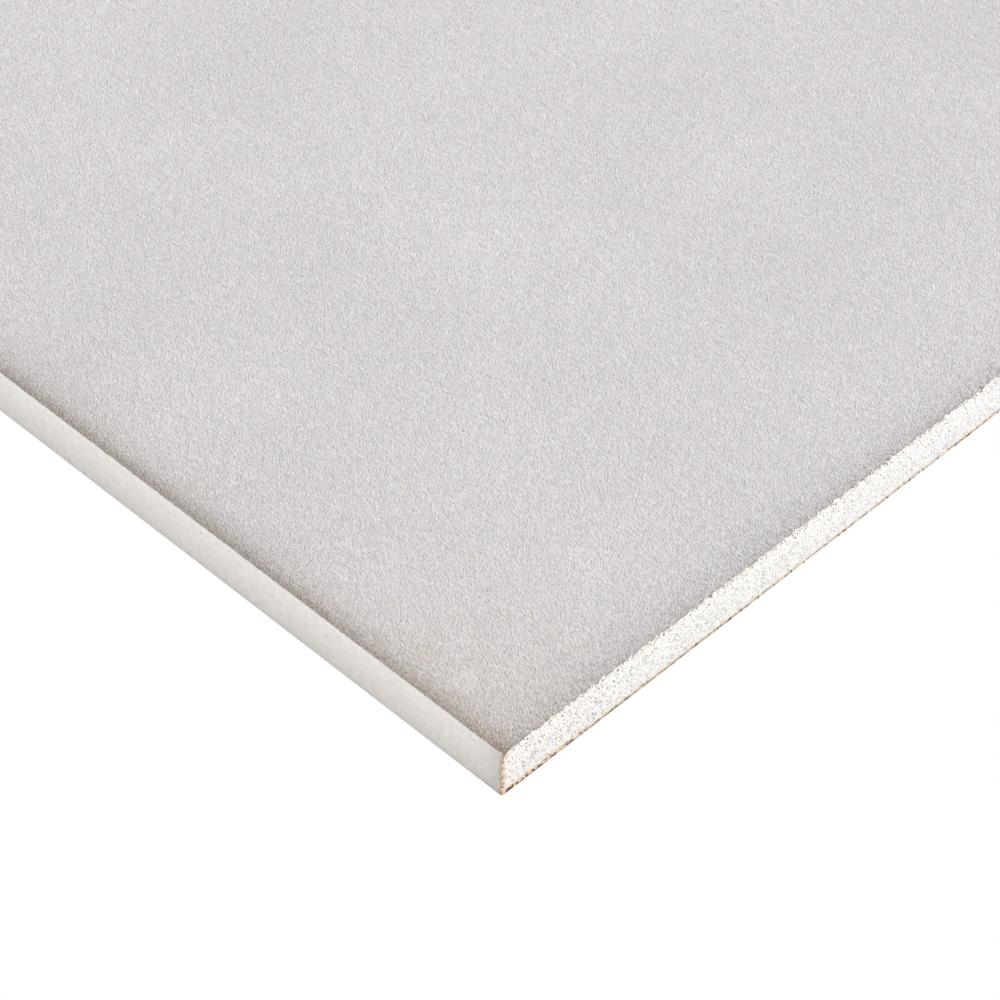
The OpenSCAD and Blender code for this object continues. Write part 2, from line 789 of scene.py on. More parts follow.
        # The fold and cut bands are painted shade with some soil in them, and the heel line is painted
        # shade
        for soil, distance, in_hollows in (
            (self.handling_soil, from_fold, fold_share),
            (self.fold_shade_and_soil, from_fold, fold_share),
            (self.cut_shade_and_soil, from_cut, by_cut),
            (self.heel_contact_shade, on.height, 1.0),
            (self.corner_soil, from_corner, 1.0),
            (self.bare_edge, from_cut, 1.0),
        ):
            by_side = on.add(RANGE, Ramp(0.0, 1.0, soil.share, soil.on_edge).of(turned))
            share = on.add(MATH, {0: by_side, 1: in_hollows}, operation="MULTIPLY")
            amount = soil.fade(on, distance, share)
            sheet = on.add(MIX, {"Factor": amount, "A": sheet, "B": linear(soil.colour)}, data_type="RGBA")
        return sheet

    def marked(self, on: Surface, sheet: Feed, left: Feed) -> tuple[Feed, Feed]:
        """Lay the marks on the face.

        Args:
            on: Material that is being drawn.
            sheet: Colour under the marks.
            left: How much of the relief is left.

        Returns:
            The colour with the marks, and how much of the relief is left under them.
        """
        size = self.size
        ragged = on.add(NOISE, self.mark_fray.of(on.place))
        for mark in self.marks:
            x = mark.across_mm * MM - size.half_width
            y = mark.along_mm * MM - size.half_length
            away = on.add(VECTOR, {0: on.place, 1: (x, y, size.thickness)}, operation="DISTANCE")
            radius = mark.radius_mm * MM
            rim = {0: ragged, 1: radius, 2: away.outputs["Value"]}
            edge = on.add(MATH, rim, operation="MULTIPLY_ADD")
            start, stop = (share * radius for share in self.mark_rim)
            spot = on.add(RANGE, Ramp(start, stop).of(edge), interpolation_type="SMOOTHSTEP")
            share = on.add(MATH, {0: spot, 1: mark.share}, operation="MULTIPLY")
            sheet = on.add(MIX, {"Factor": share, "A": sheet, "B": linear(mark.colour)}, data_type="RGBA")
            if mark.flattens:
                flat = on.add(RANGE, Ramp(0.0, 1.0, 1.0, 1 - mark.flattens).of(spot))
                left = on.add(MATH, {0: left, 1: flat}, operation="MULTIPLY")
        return sheet, left

    def paint(self, on: Surface) -> tuple[Feed, Feed, Feed]:
        """Draw the felted face, the pressed edges, the soil and painted shade, and the marks.

        Args:
            on: Material that is being drawn.

        Returns:
            The colour, the height of the relief, and how much of the relief is left.
        """
        fibres, height = self.felt(on)
        turned = self.turned(on, fibres)
        tones = {"Factor": turned, "A": self.face_tone(on, fibres), "B": self.edge_tone(on)}
        flecked = self.flecks.draw(on, on.add(MIX, tones, data_type="RGBA"))
        soiled_and_shaded = self.soiled_and_shaded(on, flecked, fibres, turned)
        left = on.add(RANGE, Ramp(0.0, 1.0, 1.0, self.edge_relief).of(turned))
        colour, left = self.marked(on, soiled_and_shaded, left)
        return colour, height, left


@dataclass(frozen=True, kw_only=True)
class BackLinerFinish(Finish):
    """Back liner of unbleached recycled fibre, left as it came off the paper machine.

    The eye sees a dull grey-brown sheet with a cloudy formation, short fibres and dark recycled flecks.
    The fibres are drawn several times as wide as real ones, so that they show.
    """

    name: str = "Recycled paper, unbleached back liner"
    roughness: float = 0.9
    specular: float = 0.2
    relief_mm: float = 0.12
    colour: str = "#A08A70"
    pale_colour: str = "#BBA78C"
    fibre: Grain = Grain(0.25, 3.0)
    fibre_long_mm: float = 1.8
    cloud: Grain = Grain(14.0, 5.0)
    pale_share: Ramp = Ramp(0.04, 0.46)
    flecks: Flecks = Flecks(4.0, 0.4, "#5B4A39")

    def paint(self, on: Surface) -> tuple[Feed, Feed, float]:
        """Draw the brown sheet.

        Args:
            on: Material that is being drawn.

        Returns:
            The colour, the height of the relief, and how much of the relief is left.
        """
        narrowed = (1.0, self.fibre.mm / self.fibre_long_mm, 1.0)
        laid = on.add(MAPPING, {"Vector": on.place, "Scale": narrowed})
        fibre = on.add(NOISE, self.fibre.of(laid))
        cloud = on.add(NOISE, self.cloud.of(on.place))
        mixed = on.add(MATH, {0: fibre, 1: cloud}, operation="MULTIPLY")
        share = on.add(RANGE, self.pale_share.of(mixed))
        tones = {"Factor": share, "A": linear(self.colour), "B": linear(self.pale_colour)}
        return self.flecks.draw(on, on.add(MIX, tones, data_type="RGBA")), fibre, 1.0


@dataclass(frozen=True, kw_only=True)
class TornPlyFinish(Finish):
    """Inner plies of the liners, torn open by the saw.

    The eye sees tan fibre, paler towards the gypsum, with dark brown clots on the outer plies, wiped
    with plaster dust in places. Along the face grey felt and white dust hide most of the tan.
    """

    size: SheetSize
    name: str = "Recycled paper, torn inner plies"
    roughness: float = 0.95
    specular: float = 0.1
    relief_mm: float = 0.12
    tan_colour: str = "#B5895C"
    pale_colour: str = "#EBD6BC"
    clot_colour: str = "#654830"
    dust_colour: str = "#F7F2EC"
    felt_colour: str = "#958A81"
    streak: Grain = Grain(0.5, 2.0)
    inner_pale: float = 0.35
    pale_share: Ramp = Ramp(0.46, 0.8)
    clot: Grain = Grain(0.9, 1.0)
    inner_clot: float = -0.15
    clot_share: Ramp = Ramp(0.39, 0.5)
    wiped: Grain = Grain(25.0, 1.0)
    wiped_tone: Ramp = Ramp(0.4, 0.62, 0.3, 1.0)
    wiped_share: float = 0.6
    wiped_from_side_mm: tuple[float, float] = (80.0, 15.0)
    wiped_by_side: float = 0.1
    bare: Grain = Grain(5.0, 2.0)
    covered_share: Ramp = Ramp(0.5, 0.64, 1.0, 0.5)
    rim_plies: tuple[int, int] = (2, 1)
    felt: Grain = Grain(1.5, 3.0)
    inner_dust: float = 0.2
    dust_share: Ramp = Ramp(0.53, 0.66)

    def rim(self, on: Surface, ply: Feed) -> tuple[Feed, Feed]:
        """Draw the felt turned over the cut along the face, and the dust on it.

        Args:
            on: Material that is being drawn.
            ply: 0 on the outer ply, 1 on the inner one.

        Returns:
            How far they hide the tan, all but a few bare patches, and their colour.
        """
        start, stop = (self.size.thickness - plies * self.size.face_ply for plies in self.rim_plies)
        upper = on.add(RANGE, Ramp(start, stop).of(on.height))
        covered = on.add(RANGE, self.covered_share.of(on.add(NOISE, self.bare.of(on.place))))
        hidden = on.add(MATH, {0: upper, 1: covered}, operation="MULTIPLY")
        felt = on.add(NOISE, self.felt.of(on.place))
        deeper = on.add(MATH, {0: ply, 1: self.inner_dust, 2: felt}, operation="MULTIPLY_ADD")
        dust = on.add(RANGE, self.dust_share.of(deeper))
        tones = {"Factor": dust, "A": linear(self.felt_colour), "B": linear(self.dust_colour)}
        return hidden, on.add(MIX, tones, data_type="RGBA")

    def paint(self, on: Surface) -> tuple[Feed, Feed, float]:
        """Draw the torn fibre, its clots and the dust, and the felt and dust along the face.

        Args:
            on: Material that is being drawn.

        Returns:
            The colour, the height of the relief, and how much of the relief is left.
        """
        ply = on.add("ShaderNodeAttribute", attribute_name=Trace.PLY.value).outputs["Fac"]
        streaks = on.add(NOISE, self.streak.of(on.place))
        inwards = on.add(MATH, {0: ply, 1: self.inner_pale, 2: streaks}, operation="MULTIPLY_ADD")
        pale = on.add(RANGE, self.pale_share.of(inwards))
        clots = on.add(NOISE, self.clot.of(on.place))
        outwards = on.add(MATH, {0: ply, 1: self.inner_clot, 2: clots}, operation="MULTIPLY_ADD")
        clotted = on.add(RANGE, self.clot_share.of(outwards))
        start, stop = (self.size.half_width - mm * MM for mm in self.wiped_from_side_mm)
        share = self.wiped_share
        by_side = on.add(RANGE, Ramp(start, stop, share, self.wiped_by_side * share).of(on.across))
        patches = on.add(RANGE, self.wiped_tone.of(on.add(NOISE, self.wiped.of(on.place))))
        wiped = on.add(MATH, {0: patches, 1: by_side}, operation="MULTIPLY")
        hidden, rim = self.rim(on, ply)
        colour = linear(self.tan_colour)
        for share, over in (
            (pale, linear(self.pale_colour)),
            (clotted, linear(self.clot_colour)),
            (wiped, linear(self.dust_colour)),
            (hidden, rim),
        ):
            colour = on.add(MIX, {"Factor": share, "A": colour, "B": over}, data_type="RGBA")
        return colour, streaks, 1.0


@dataclass(frozen=True, kw_only=True)
class LooseFibreFinish(Finish):
    """Loose paper fibre pulled out of the torn plies.

    The eye sees matt strands and clots, each of its own shade, tan but for the white felt along the face.
    """

    size: SheetSize
    dark_colour: str
    pale_colour: str
    felt_colours: tuple[str, str] = ("#ADA59E", "#F4F0EB")
    felt_plies: tuple[int, int] = (3, 2)
    roughness: float = 0.95
    specular: float = 0.1
    relief_mm: float = 0.05
    grain: Grain = Grain(0.2, 1.0)

    def paint(self, on: Surface) -> tuple[Feed, Feed, float]:
        """Draw the strands, each in the shade that its mesh holds.

        Args:
            on: Material that is being drawn.

        Returns:
            The colour, the height of the relief, and how much of the relief is left.
        """
        shade = on.add("ShaderNodeAttribute", attribute_name=Trace.SHADE.value).outputs["Fac"]
        tan, felt = (
            on.add(MIX, {"Factor": shade, "A": linear(dark), "B": linear(pale)}, data_type="RGBA")
            for dark, pale in ((self.dark_colour, self.pale_colour), self.felt_colours)
        )
        start, stop = (self.size.thickness - plies * self.size.face_ply for plies in self.felt_plies)
        by_face = on.add(RANGE, Ramp(start, stop).of(on.height))
        colour = on.add(MIX, {"Factor": by_face, "A": tan, "B": felt}, data_type="RGBA")
        return colour, on.add(NOISE, self.grain.of(on.place)), 1.0


@dataclass(frozen=True, kw_only=True)
class GypsumFinish(Finish):
    """Set gypsum plaster, foamed, sawn across.

    The eye sees chalk white, stippled with painted shade in the slanted mouths of small air pores,
    densest by the long edges, tinged tan where the saw dragged paper dust over it, with dark specks of
    painted shade in the gaps under the face.
    The grain of the crystals is too fine to show, so it is drawn coarser.
    """

    size: SheetSize
    name: str = "Gypsum plaster, sawn"
    roughness: float = 0.95
    specular: float = 0.1
    ior: float = 1.52
    relief_mm: float = 0.25
    pore_depth: float = -0.8

    colour: str = "#F0EEEC"
    tint: Tint = Tint(Grain(2.0, 2.0), 0.06)
    grain: Grain = Grain(0.4, 2.0)
    grain_tone: Ramp = Ramp(0.3, 0.7, 0.92, 1.07)
    slant: float = -28.0
    stroke: Grain = Grain(0.35)
    stroke_long_mm: float = 3.0
    stroke_tone: Ramp = Ramp(0.3, 0.7, 0.95, 1.05)
    foot_shade: float = 0.9
    foot_share: float = 0.8

    # Painted shade: the mouths of the air pores are darkened in colour
    pore_shade_colour: str = "#8F8A86"
    pores: tuple[Pores, ...] = (Pores(0.5, 0.48, 0.62), Pores(0.3, 0.48, 0.46), Pores(5.0, 0.07, 0.7))
    mouth_stretch: float = 2.8
    porous: Grain = Grain(14.0, 2.0)
    porous_share: Ramp = Ramp(0.35, 0.65, 0.65, 1.0)
    porous_side_mm: float = 100.0
    porous_by_side: tuple[float, float] = (0.78, 1.1)
    dense_mm: tuple[float, float] = (4.0, 1.5)
    dense_share: float = 0.5

    dust_colour: str = "#E2C29C"
    dust_breaks: Ramp = Ramp(0.3, 0.7, 0.4, 1.6)
    foot_dust: EdgeFade = EdgeFade(0.3, 0.22)
    wrap_dust: EdgeFade = EdgeFade(0.32, 1.25)
    corner_dust: EdgeFade = EdgeFade(1.6, 0.7)
    side_dust: EdgeFade = EdgeFade(30.0, 0.08)
    rim_dust: EdgeFade = EdgeFade(0.9, 0.24)
    rim_patch: Grain = Grain(8.0, 2.0)
    rim_share: Ramp = Ramp(0.5, 0.64, 0.1, 1.0)
    # Painted shade: dark specks in the gaps under the face
    gap_shade_colour: str = "#695A4B"
    bit: Grain = Grain(0.45, 1.0)
    rim_gap_shade: EdgeFade = EdgeFade(1.1, 0.145)
    gap_shade_share: Ramp = Ramp(0.67, 0.72, 0.0, 0.9)

    def slanted(self, on: Surface, stretch: float) -> Feed:
        """Coordinates drawn out along the slant of the saw's strokes, to so many times as long as wide."""
        turn = {"Rotation": (0.0, math.radians(self.slant), 0.0), "Scale": (1.0, 1.0, stretch)}
        return on.add(MAPPING, {"Vector": on.place, **turn}, vector_type="TEXTURE")

    def stipple(self, on: Surface) -> Feed:
        """Draw the painted shade in the mouths of the air pores.

        Args:
            on: Material that is being drawn.

        Returns:
            How much painted shade the pores hold, from 0 to 1.
        """
        drawn = self.slanted(on, self.mouth_stretch)
        mouths = 0.0
        for pores in self.pores:
            mouths = on.add(MATH, {0: mouths, 1: pores.draw(on, drawn)}, operation="MAXIMUM")
        clouded = on.add(RANGE, self.porous_share.of(on.add(NOISE, self.porous.of(on.place))))
        side = self.size.half_width
        from_side = Ramp(side - self.porous_side_mm * MM, side, *self.porous_by_side)
        start, stop = (self.size.thickness - mm * MM for mm in self.dense_mm)
        by_side = on.add(RANGE, from_side.of(on.across))
        by_face = on.add(RANGE, Ramp(start, stop, 1.0, self.dense_share).of(on.height))
        for share in (clouded, by_side, by_face):
            mouths = on.add(MATH, {0: mouths, 1: share}, operation="MULTIPLY")
        return mouths

    def chalk(self, on: Surface, grain: Feed) -> Feed:
        """Draw the plaster: grainy, faintly tinted and stroked by the saw, with painted shade towards its
        foot.

        Args:
            on: Material that is being drawn.
            grain: Noise of the grain.

        Returns:
            The colour.
        """
        drawn = self.slanted(on, self.stroke_long_mm / self.stroke.mm)
        stroked = on.add(RANGE, self.stroke_tone.of(on.add(NOISE, self.stroke.of(drawn))))
        foot_high = self.foot_share * self.size.thickness
        foot = on.add(RANGE, Ramp(0.0, foot_high, self.foot_shade, 1.0).of(on.height))
        tone = on.add(RANGE, self.grain_tone.of(grain))
        for share in (stroked, foot):
            tone = on.add(MATH, {0: tone, 1: share}, operation="MULTIPLY")
        return self.tint.draw(on, self.colour, tone)

    def dusted(self, on: Surface, colour: Feed, grain: Feed) -> Feed:
        """Lay paper dust beside the liners, and dark specks of painted shade in the gaps under the face.

        Args:
            on: Material that is being drawn.
            colour: Colour under the dust.
            grain: Noise that breaks the dust up.

        Returns:
            The colour with the dust.
        """
        size = self.size
        on_lap = on.add(MATH, {0: on.across, 1: size.lap_edge}, operation="GREATER_THAN")
        foot = on.add(MATH, {0: on_lap, 1: size.face_ply, 2: size.back_ply}, operation="MULTIPLY_ADD")
        above = on.add(MATH, {0: on.height, 1: foot}, operation="SUBTRACT")
        within = on.add(MATH, {0: size.half_width - size.face_ply, 1: on.across}, operation="SUBTRACT")
        below = on.add(MATH, {0: size.thickness - size.face_ply, 1: on.height}, operation="SUBTRACT")
        apart = on.add(JOIN_XYZ, {"X": within, "Y": below})
        from_corner = on.add(VECTOR, {0: apart}, operation="LENGTH").outputs["Value"]
        patchy = on.add(RANGE, self.rim_share.of(on.add(NOISE, self.rim_patch.of(on.place))))
        close = on.add(MATH, {0: self.rim_dust.fade(on, below), 1: patchy}, operation="MULTIPLY")
        for distance, dusting in (
            (within, self.wrap_dust),
            (above, self.foot_dust),
            (from_corner, self.corner_dust),
        ):
            close = on.add(MATH, {0: close, 1: dusting.fade(on, distance)}, operation="MAXIMUM")
        broken = on.add(RANGE, self.dust_breaks.of(grain))
        spread = self.side_dust.fade(on, within)
        dust = on.add(MATH, {0: close, 1: broken, 2: spread}, operation="MULTIPLY_ADD")
        # Painted shade: dark specks in the gaps under the face
        specks = on.add(NOISE, self.bit.of(on.place))
        thick = on.add(MATH, {0: specks, 1: self.rim_gap_shade.fade(on, below)}, operation="ADD")
        bits = on.add(RANGE, self.gap_shade_share.of(thick))
        for share, over in ((dust, self.dust_colour), (bits, self.gap_shade_colour)):
            colour = on.add(MIX, {"Factor": share, "A": colour, "B": linear(over)}, data_type="RGBA")
        return colour

    def paint(self, on: Surface) -> tuple[Feed, Feed, float]:
        """Draw the white plaster, its pores and the paper dust.

        Args:
            on: Material that is being drawn.

        Returns:
            The colour, the height of the relief, and how much of the relief is left.
        """
        grain = on.add(NOISE, self.grain.of(on.place))
        stipple = self.stipple(on)
        # Painted shade in the pore mouths
        tones = {"Factor": stipple, "A": self.chalk(on, grain), "B": linear(self.pore_shade_colour)}
        colour = self.dusted(on, on.add(MIX, tones, data_type="RGBA"), grain)
        sunk = on.add(MATH, {0: stipple, 1: self.pore_depth, 2: grain}, operation="MULTIPLY_ADD")
        return colour, sunk, 1.0


@dataclass
class GypsumCore:
    """The cast core: smooth inside its papers, sawn and porous at both cut ends."""

    size: SheetSize
    finish: GypsumFinish
    name: str = "gypsum_core_sawn"
    spacing: Spacing = Spacing(fine=0.4 * MM, coarse=1.9 * MM)
    layers: int = 30
    end_depth: float = 1.0 * MM
    relief: float = 0.26 * MM
    grain: float = 0.9 * MM
    pit: float = 2.6 * MM
    pit_depth: float = 0.5 * MM
    pit_wall: tuple[float, float] = (0.28, 0.1)
    lap_step: float = 0.35 * MM
    knock: Knock = Knock()
    sharp: float = 50.0
    seed: float = 3.0

    def heights(self, across: np.ndarray) -> tuple[np.ndarray, np.ndarray]:
        """Underside and top of the core across the width.

        Args:
            across: Places across the width.

        Returns:
            The heights of the underside and of the top.
        """
        s = self.size
        out = np.abs(across)
        stops = [0.0, s.lap_edge, s.lap_edge + self.lap_step, s.seam_step, s.seam_edge, s.half_width]
        low = np.interp(out, stops, [s.back_ply, s.back_ply, s.lap_top, s.lap_top, s.face_ply, s.face_ply])
        side = s.half_width - s.face_ply
        past_heel = np.clip(out - (side - s.inner_heel), 0.0, s.inner_heel)
        low = low + s.inner_heel - np.sqrt(s.inner_heel**2 - past_heel**2)
        past_shoulder = np.clip(out - (side - s.inner_shoulder), 0.0, s.inner_shoulder)
        drop = s.inner_shoulder - np.sqrt(s.inner_shoulder**2 - past_shoulder**2)
        return low, s.thickness - s.face_ply - drop

    def block(self) -> bpy.types.Mesh:
        """Make the plain core, with its two cut ends as fine grids.

        Returns:
            The mesh, before its ends are roughened.
        """
        s = self.size
        across = self.spacing.columns(s.half_width - s.face_ply)
        for stop in (s.lap_edge, s.lap_edge + self.lap_step, s.seam_step, s.seam_edge):
            for side in (-stop, stop):
                across[np.abs(across - side).argmin()] = side
        low, high = self.heights(across)
        rise = np.linspace(0.0, 1.0, self.layers)
        x = np.repeat(across, self.layers)
        z = (low[:, None] + (high - low)[:, None] * rise[None]).ravel()
        grid = np.arange(len(x)).reshape(len(across), self.layers)
        rim = np.concatenate([grid[:-1, 0], grid[-1, :-1], grid[:0:-1, -1], grid[0, :0:-1]])
        points = [np.column_stack([x, np.full_like(x, end.value * s.half_length), z]) for end in End]
        behind = s.half_length - self.knock.along
        points += [np.column_stack([x[rim], np.full(len(rim), end.value * behind), z[rim]]) for end in End]
        ring = 2 * grid.size + np.arange(len(rim))
        rows = [rim, ring, ring + len(rim), rim + grid.size]
        cut = np.stack([grid[:-1, :-1], grid[1:, :-1], grid[1:, 1:], grid[:-1, 1:]], -1).reshape(-1, 4)
        faces = [cut, cut[:, ::-1] + grid.size]
        for a, b in zip(rows[:-1], rows[1:]):
            faces.append(np.stack([a, b, np.roll(b, -1), np.roll(a, -1)], -1))
        pressed = self.knock.press(s, np.concatenate(points))
        return new_mesh(self.name, pressed, np.concatenate(faces).tolist())

    def build(self) -> bpy.types.Object:
        """Make the core, roughen its ends inwards with grain and scattered pits, and dress it.

        Returns:
            The finished piece.
        """
        values = {
            "Half length": self.size.half_length,
            "End depth": self.end_depth,
            "Relief": self.relief,
            "Grain": self.grain,
            "Pit": self.pit,
            "Pit depth": self.pit_depth,
            "Seed": self.seed,
            "Finish": self.finish.material(),
        }
        nodes = Shaping("sawn ends", values)
        given = nodes.given
        place = nodes.add(POSITION)
        along = nodes.add(MATH, {0: nodes.add(SPLIT_XYZ, {0: place}).outputs["Y"]}, operation="ABSOLUTE")
        near = nodes.add(MATH, {0: given["Half length"], 1: given["End depth"]}, operation="SUBTRACT")
        at_end = nodes.add(MATH, {0: along, 1: near}, operation="GREATER_THAN")
        seeded = {"Vector": place, "W": given["Seed"]}
        grains = nodes.add(MATH, {0: 1.0, 1: given["Grain"]}, operation="DIVIDE")
        rough = {**seeded, "Scale": grains, "Detail": 3.0, "Roughness": 0.7}
        roughness = nodes.add(NOISE, rough, noise_dimensions="4D")
        depth = nodes.add(MATH, {0: roughness, 1: given["Relief"]}, operation="MULTIPLY")
        pits = nodes.add(MATH, {0: 1.0, 1: given["Pit"]}, operation="DIVIDE")
        cells = nodes.add(CELLS, {**seeded, "Scale": pits}, voronoi_dimensions="4D").outputs["Distance"]
        bowl = nodes.add(RANGE, Ramp(*self.pit_wall).of(cells), interpolation_type="SMOOTHSTEP")
        depth = nodes.add(MATH, {0: bowl, 1: given["Pit depth"], 2: depth}, operation="MULTIPLY_ADD")
        inwards = nodes.add(MATH, {0: depth, 1: -1.0}, operation="MULTIPLY")
        push = {"Selection": at_end, "Offset": nodes.outwards(place, inwards)}
        moved = nodes.add(MOVE, {"Geometry": given["Geometry"], **push})
        real = nodes.add(REALIZE, {"Geometry": moved})
        dressed = nodes.add(DRESS, {"Geometry": real, "Material": given["Finish"]})
        piece = new_piece(self.name, self.block())
        nodes.run(dressed, piece)
        piece.data.set_sharp_from_angle(angle=math.radians(self.sharp))
        return piece


@dataclass(frozen=True)
class Wear:
    """What the saw leaves on one stretch of a liner.

    The shares say how thickly strands, clots and crumbs lie there, how clean its outer ply is and how
    freely its skin tears.
    """

    fray: float
    clot: float
    crumb: float
    clean: float
    tear: float


@dataclass
class PaperSheet:
    """A paper liner swept along the sheet, with plies that the saw has torn unevenly at the cut ends."""

    name: str
    size: SheetSize
    skin: bpy.types.Material
    torn: bpy.types.Material
    spacing: Spacing = Spacing(fine=0.3 * MM, coarse=1.6 * MM)
    plies: int = 4
    rows: tuple[float, ...] = (0.0, 0.9 * MM, 2.5 * MM, 8.0 * MM)
    row_tear: tuple[float, ...] = (1.0, 0.45, 0.0, 0.0)
    tear: float = 0.22 * MM
    tear_size: float = 0.9 * MM
    tear_limits: tuple[float, float] = (0.46, 0.8)
    ply_shift: float = 0.9
    on_back: Wear = Wear(fray=1.0, clot=1.0, crumb=0.0, clean=0.0, tear=0.6)
    knock: Knock = Knock()
    sharp: float = 35.0
    seed: float = 11.0

    def section(self) -> tuple[np.ndarray, np.ndarray]:
        """Points of the outer skin and, across the paper from them, of the inner skin, as X and Z."""
        raise NotImplementedError

    def wear(self, outer: np.ndarray) -> list[Wear]:
        """Wear at each point of the outer skin."""
        return [self.on_back] * len(outer)

    def blank(self) -> bpy.types.Mesh:
        """Make the swept paper with clean-cut ends, and mark how far each point may tear.

        Returns:
            The mesh, before its ends are torn.
        """
        outer, inner = self.section()
        columns = len(outer)
        reach = np.array(self.rows)
        along = np.concatenate([reach - self.size.half_length, (self.size.half_length - reach)[::-1]])
        row_tear = self.row_tear + self.row_tear[::-1]
        lean = np.unwrap(np.arctan2(*(inner - outer).T))
        fray, clot, crumb, clean, skin_tear = np.array([astuple(wear) for wear in self.wear(outer)]).T

        # Rows of points: the two skins run along the whole sheet, the plies between show only at the cuts
        last, end = self.plies - 1, len(along) - 1
        points: list[np.ndarray] = []
        kinds = (Trace.TEAR, Trace.PLY, Trace.LEAN, Trace.FRAY, Trace.CLOT, Trace.CRUMB)
        traces: dict[Trace, list[np.ndarray]] = {trace: [] for trace in kinds}
        number: dict[tuple[int, int], np.ndarray] = {}
        for k, share in enumerate(np.linspace(0.0, 1.0, self.plies)):
            line = outer + (inner - outer) * share
            for j, y in enumerate(along):
                if k not in (0, last) and j not in (0, end):
                    continue
                number[k, j] = np.arange(columns) + columns * len(points)
                points.append(np.column_stack([line[:, 0], np.full(columns, y), line[:, 1]]))
                tear = row_tear[j] * (skin_tear if k == 0 else np.ones(columns))
                found = (tear, clean + (1 - clean) * share, lean, fray, clot * (1 - share), crumb)
                for trace, values in zip(kinds, found):
                    traces[trace].append(values)

        # Faces of the skins, the torn ends and the long edges; the scatter draws its points in this order
        skins, torn = [], []
        for j in range(end):
            skins += [(number[0, j], number[0, j + 1], False), (number[last, j], number[last, j + 1], True)]
        for k in range(last):
            torn += [(number[k, 0], number[k + 1, 0], True), (number[k, end], number[k + 1, end], False)]
        strips = []
        for a, b, turned in skins + torn:
            corners = [a[:-1], a[1:], b[1:], b[:-1]]
            strips.append(np.stack(corners[:1] + corners[:0:-1] if turned else corners, -1))
        faces = np.concatenate(strips).tolist()
        torn_from, torn_to = len(skins) * (columns - 1), len(faces)
        for i, turn in ((0, 1), (-1, -1)):
            for j in range(end):
                side = [number[0, j][i], number[0, j + 1][i]]
                side += [number[k, end][i] for k in range(1, last)] if j + 1 == end else []
                side += [number[last, j + 1][i], number[last, j][i]]
                side += [number[k, 0][i] for k in range(last - 1, 0, -1)] if j == 0 else []
                faces.append([int(v) for v in side[::turn]])

        mesh = new_mesh(self.name, self.knock.press(self.size, np.concatenate(points)), faces)
        for trace, values in traces.items():
            attribute = mesh.attributes.new(trace.value, "FLOAT", "POINT")
            attribute.data.foreach_set("value", np.concatenate(values).astype(np.float32))
        open_ply = mesh.attributes.new(Trace.OPEN_PLY.value, "BOOLEAN", "FACE")
        face_number = np.arange(len(faces))
        open_ply.data.foreach_set("value", (face_number >= torn_from) & (face_number < torn_to))
        return mesh

    def build(self) -> bpy.types.Object:
        """Make the liner, tear each ply back from the cut by its own ragged line, and dress it.

        Returns:
            The finished piece.
        """
        values = {
            "Tear": self.tear,
            "Tear size": self.tear_size,
            "Ply shift": self.ply_shift,
            "Seed": self.seed,
            "Skin": self.skin,
            "Torn ply": self.torn,
        }
        nodes = Shaping(f"torn ends of {self.name}", values)
        given = nodes.given
        place = nodes.add(POSITION)
        ply = nodes.add(MARKED, {"Name": Trace.PLY.value}, data_type="FLOAT")
        weight = nodes.add(MARKED, {"Name": Trace.TEAR.value}, data_type="FLOAT")
        apart = {0: ply, 1: given["Ply shift"], 2: given["Seed"]}
        shifted = nodes.add(MATH, apart, operation="MULTIPLY_ADD")
        tears = nodes.add(MATH, {0: 1.0, 1: given["Tear size"]}, operation="DIVIDE")
        rough = {"Vector": place, "W": shifted, "Scale": tears, "Detail": 3.0, "Roughness": 0.75}
        ragged = nodes.add(NOISE, rough, noise_dimensions="4D")
        depth = nodes.add(RANGE, Ramp(*self.tear_limits, 0.0, given["Tear"]).of(ragged))
        reach = nodes.add(MATH, {0: depth, 1: weight}, operation="MULTIPLY")
        inwards = nodes.add(MATH, {0: reach, 1: -1.0}, operation="MULTIPLY")
        push = nodes.outwards(place, inwards)
        moved = nodes.add(MOVE, {"Geometry": given["Geometry"], "Offset": push})
        real = nodes.add(REALIZE, {"Geometry": moved})
        skinned = nodes.add(DRESS, {"Geometry": real, "Material": given["Skin"]})
        open_ply = nodes.add(MARKED, {"Name": Trace.OPEN_PLY.value}, data_type="BOOLEAN")
        cover = {"Geometry": skinned, "Selection": open_ply, "Material": given["Torn ply"]}
        dressed = nodes.add(DRESS, cover)
        piece = new_piece(self.name, self.blank())
        nodes.run(dressed, piece)
        piece.data.set_sharp_from_angle(angle=math.radians(self.sharp))
        return piece


